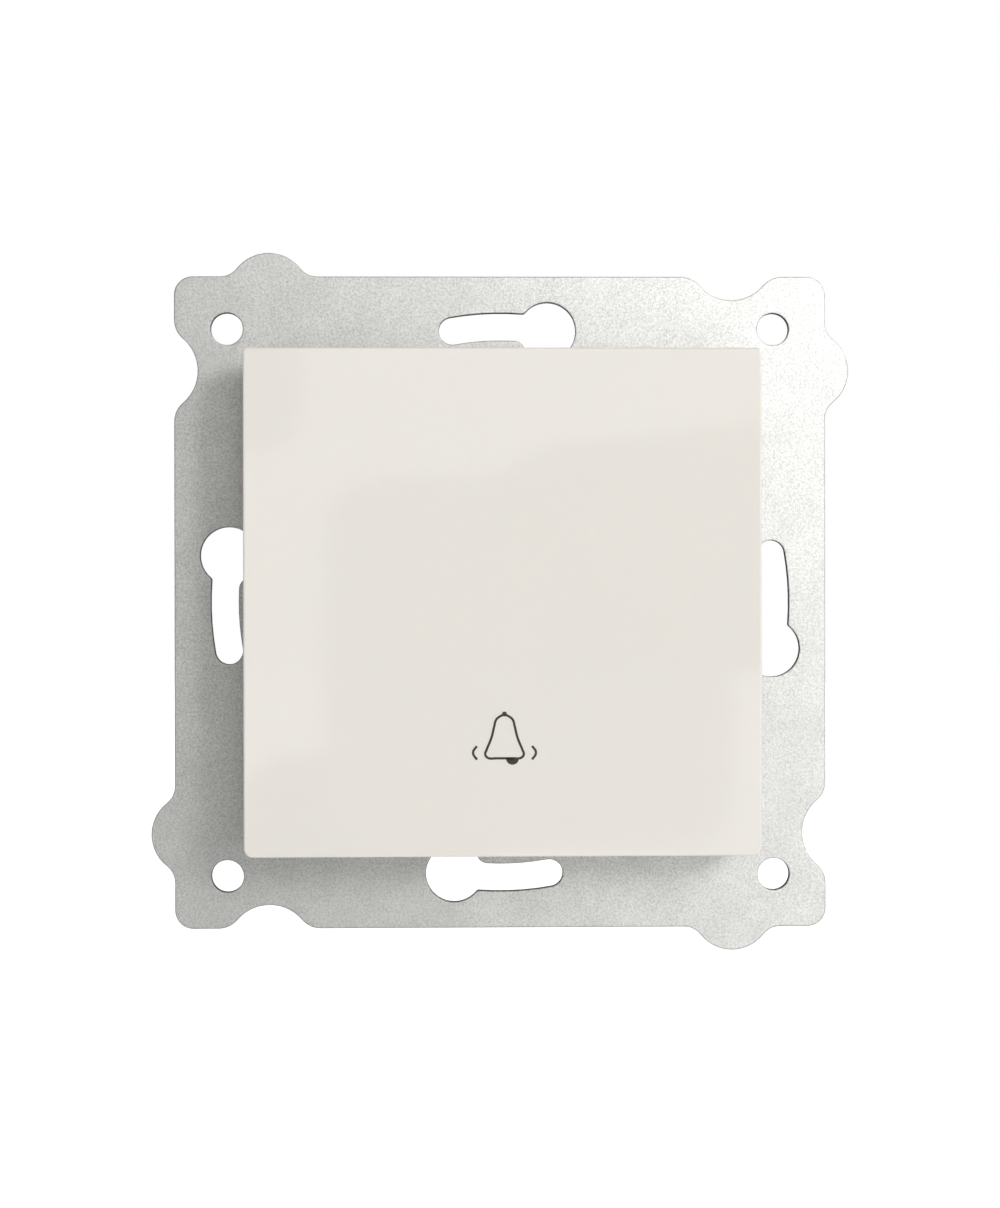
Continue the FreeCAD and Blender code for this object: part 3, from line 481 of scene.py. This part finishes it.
def wound(name, sides, section, radius, turns, pitch, place, finish):
    """A section wound round a line along Y, with the radii, the pitch and the line's start in millimetres."""
    bpy.ops.mesh.primitive_circle_add(vertices=sides, radius=section * MM, rotation=(math.pi / 2, 0, 0))
    coil = bpy.context.object
    coil.name = name
    bpy.ops.object.transform_apply(location=True, rotation=True, scale=True)
    bpy.ops.object.mode_set(mode="EDIT")
    bpy.ops.mesh.select_all(action="SELECT")
    bpy.ops.transform.rotate(value=math.pi / 2, orient_axis="Y", center_override=(0, 0, 0))
    bpy.ops.transform.translate(value=(radius * MM, 0, 0))
    bpy.ops.object.mode_set(mode="OBJECT")
    steps = int(STEPS_PER_TURN * turns)
    finish_modifier(coil, "SCREW", axis="Z", angle=2 * math.pi * turns, screw_offset=turns * pitch * MM,
                    steps=steps, render_steps=steps, use_merge_vertices=False)
    coil.rotation_euler = (-math.pi / 2, 0, 0)
    coil.location = Vector(place) * MM
    bpy.ops.object.transform_apply(location=True, rotation=True, scale=True)
    bpy.ops.object.mode_set(mode="EDIT")
    bpy.ops.mesh.select_all(action="SELECT")
    bpy.ops.mesh.fill_holes(sides=0)
    bpy.ops.mesh.select_all(action="SELECT")
    bpy.ops.mesh.normals_make_consistent(inside=False)
    bpy.ops.object.mode_set(mode="OBJECT")
    coil.data.materials.append(finish)
    print(name, "turns", turns, "faces", len(coil.data.polygons))
    return coil


# %% Thread the claw screws
THREAD_SIDES = 3
THREAD_PITCH = 0.5
THREAD_HEIGHT = 0.14
THREAD_START = 5.0
THREAD_RADIUS = 1.43
PLAIN_END = 0.9

for side, body in (("left", "claw_screw_l"), ("right", "claw_screw_r")):
    low, high = (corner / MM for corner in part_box("claw_screw_" + side))
    turns = int((high.y - PLAIN_END - THREAD_START) / THREAD_PITCH)
    start = ((low.x + high.x) / 2, THREAD_START, (low.z + high.z) / 2)
    ridge = wound("claw_screw_thread_" + side, THREAD_SIDES, THREAD_HEIGHT, THREAD_RADIUS, turns,
                  THREAD_PITCH, start, zinc_plate)
    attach(ridge, body)

# %% [markdown]
# The return spring stands in a cup of the frame and pushes the carrier forwards. It stays behind when the key
# turns, so it rides on the mechanism. It takes the place of a plainer spring, whose box gives its size.

# %% Wind the return spring
SPRING_WIRE = 0.22
SPRING_SIDES = 10
SPRING_TURNS = 4
SPRING_END = 0.24

low, high = (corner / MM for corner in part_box("return_spring"))
spring_radius = (high.x - low.x) / 2 - SPRING_END
spring_pitch = (high.y - low.y - 2 * SPRING_END) / SPRING_TURNS
start = ((low.x + high.x) / 2, low.y + SPRING_END, (low.z + high.z) / 2)
spring = wound("coil_spring", SPRING_SIDES, SPRING_WIRE, spring_radius, SPRING_TURNS, spring_pitch, start,
               spring_wire)
activate(spring)
bpy.ops.object.shade_smooth_by_angle()
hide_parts("return_spring")
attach(spring, "mechanism")
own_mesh(spring)

# %% [markdown]
# ## The studio
# The background of such a photograph is pure white, also through the holes in the plate. White light from
# all round would make the object flat, so the world is white only to rays that come straight from the
# camera, or that a gloss or a clear piece sends on. Everything else is lit by soft lamps and a low fill.
# The main lamp stands to the right, above and in front, so that the key throws a soft shadow to its left
# and the plate is brightest on the right. A weak lamp on the left opens that shadow, and gloss doesn't
# show it.

# %% Light from all round
FILL = 0.226
WHITE = (1, 1, 1, 1)

world = bpy.data.worlds.new("studio")
bpy.context.scene.world = world
world.use_nodes = True
tree = world.node_tree
strength = spread(tree, ray_is(tree, "Camera", "Glossy", "Transmission"), FILL, 1.0)
plug(tree, WHITE, tree.nodes["Background"].inputs["Color"])
plug(tree, strength, tree.nodes["Background"].inputs["Strength"])
print("fill light", FILL)

# %% Soft lamps
def soft_lamp(name, place, size, power):
    """A square lamp at a place in metres that faces the object."""
    bpy.ops.object.light_add(type="AREA", location=place)
    lamp = bpy.context.object
    lamp.name = name
    lamp.data.size = size
    lamp.data.energy = power
    lamp.rotation_euler = (-Vector(place)).to_track_quat("-Z", "Y").to_euler()
    print(name, "at", round(Vector(place).length, 2), "m, power", power)
    return lamp


soft_lamp("right_softbox", (0.78, -1.08, 0.48), size=0.48, power=11.3)
left_fill = soft_lamp("left_fill", (-0.75, -0.45, 0.0), size=0.5, power=2.0)
left_fill.visible_glossy = False

# %% [markdown]
# Satin metal mirrors a wide part of the room, so what stands beside the camera matters as much as the lamps.
# Photographers hang cards there, and only gloss sees these. A card's tone is its light, from 0 for black to
# 1 for the white of the room, and a card above 1 is a reflector that is brighter still. The left, corner,
# side and low cards darken the plate's left part. The middle and the upper card are what the glossy key shows
# as a slightly darker area with rounded corners. The two bright ones lift the plate's top and lower right.

# %% Hang one card
CARD_Y = -0.33
CARD_FADE = 0.15
CORNER_STEPS = 8
BLACK = (0, 0, 0)


def hang_card(name, across, upright, corner, tones, lean=0):
    """An upright card, from its spans in metres, its corner radius, and its tones at the foot and the top."""
    (x0, x1), (z0, z1) = across, upright
    bpy.ops.mesh.primitive_plane_add(size=1, location=((x0 + x1) / 2, CARD_Y, (z0 + z1) / 2),
                                     rotation=(math.pi / 2, math.radians(lean), 0))
    card = bpy.context.object
    card.name = name
    card.scale = (x1 - x0, z1 - z0, 1)
    bpy.ops.object.transform_apply(location=True, rotation=True, scale=True)
    bpy.ops.object.mode_set(mode="EDIT")
    bpy.ops.mesh.select_all(action="SELECT")
    bpy.ops.mesh.bevel(offset=corner, segments=CORNER_STEPS, affect="VERTICES")
    bpy.ops.object.mode_set(mode="OBJECT")
    finish, tree, shader = new_finish(name, BLACK, 1.0)
    height = add_node(tree, "SeparateXYZ", {"Vector": points(tree)}).outputs["Z"]
    plug(tree, WHITE, shader.inputs["Emission Color"])
    tone = spread(tree, height, *tones, start=max(z0, -CARD_FADE), end=min(z1, CARD_FADE))
    plug(tree, tone, shader.inputs["Emission Strength"])
    card.data.materials.append(finish)
    card.visible_camera = card.visible_diffuse = card.visible_shadow = card.visible_transmission = False
    print(name, "with tones", tones)
    return card


def turn_card(card, axis, move):
    """Gives a card a quarter turn about an axis through the middle of all cards, and then moves it."""
    activate(card)
    bpy.ops.transform.rotate(value=math.pi / 2, orient_axis=axis, center_override=(0, CARD_Y, 0))
    bpy.ops.transform.translate(value=move)
    bpy.ops.object.transform_apply(location=True, rotation=True, scale=True)


# %% Hang all the cards
hang_card("left_card", (-1.2, -0.054), (-1.0, 1.0), 0.02, (0.75, 0.0))
hang_card("top_left_card", (-0.10, -0.036), (0.04, 0.3), 0.01, (0.0, 0.0))
hang_card("low_left_card", (-0.07, 0.010), (-0.19, -0.070), 0.02, (0.0, 0.0))
hang_card("middle_card", (-0.031, 0.060), (-0.066, 0.033), 0.014, (0.35, 0.0))
hang_card("upper_card", (0.010, 0.085), (-0.020, 0.045), 0.014, (0.0, 0.0), lean=-7)
hang_card("top_light", (-0.035, 0.060), (0.085, 0.17), 0.02, (2.0, 2.0))
hang_card("low_right_light", (0.03, 0.12), (-0.14, -0.085), 0.02, (1.8, 1.8))
side_card = hang_card("side_card", (-0.33, 0.33), (-1.0, 1.0), 0.02, (0.05, 0.0))
turn_card(side_card, "Z", move=(-0.26, 0.33, 0))
low_card = hang_card("low_card", (-0.062, 0.005), (-0.3, 0.3), 0.02, (0.0, 0.0))
turn_card(low_card, "X", move=(0, -0.02, -0.066))

# %% [markdown]
# ## The floor
# A pale floor under the object catches its shadow in the other views. To the camera it is as white as the
# world behind it, apart from that shadow, so that no horizon shows through the holes of the plate. Its glow
# is a little weaker near the object, where the shadow lies, and full further out.

# %% Lay the floor
FLOOR_GAP = 32 * MM
FLOOR_SIZE = 4
FLOOR_GLOW = 0.3
GLOW_NEAR = 0.88
FLOOR_PALE = (0.8, 0.8, 0.8)
FLOOR_SEEN = (0.34, 0.34, 0.34)
SHADOW_REACH = (0.08, 0.3)

bpy.ops.mesh.primitive_plane_add(size=FLOOR_SIZE, location=(0, 0, cad_low.z - FLOOR_GAP))
floor = bpy.context.object
floor.name = "floor"
pale, tree, shader = new_finish("pale_floor", FLOOR_PALE, 0.9)
direct = ray_is(tree, "Camera", "Glossy")
distance = add_node(tree, "VectorMath", {0: points(tree)}, operation="LENGTH").outputs["Value"]
seen_glow = spread(tree, distance, GLOW_NEAR, 1.0, *SHADOW_REACH)
plug(tree, WHITE, shader.inputs["Emission Color"])
plug(tree, spread(tree, direct, FLOOR_GLOW, seen_glow), shader.inputs["Emission Strength"])
plug(tree, mix_colours(tree, direct, FLOOR_PALE, FLOOR_SEEN), shader.inputs["Base Color"])
floor.data.materials.append(pale)
print("floor at", round(floor.location.z / MM, 1), "mm")

# %% [markdown]
# ## Finish
# The colours are shown as they are, with no film curve.

# %% Show the colours as they are
bpy.context.scene.view_settings.view_transform = "Standard"
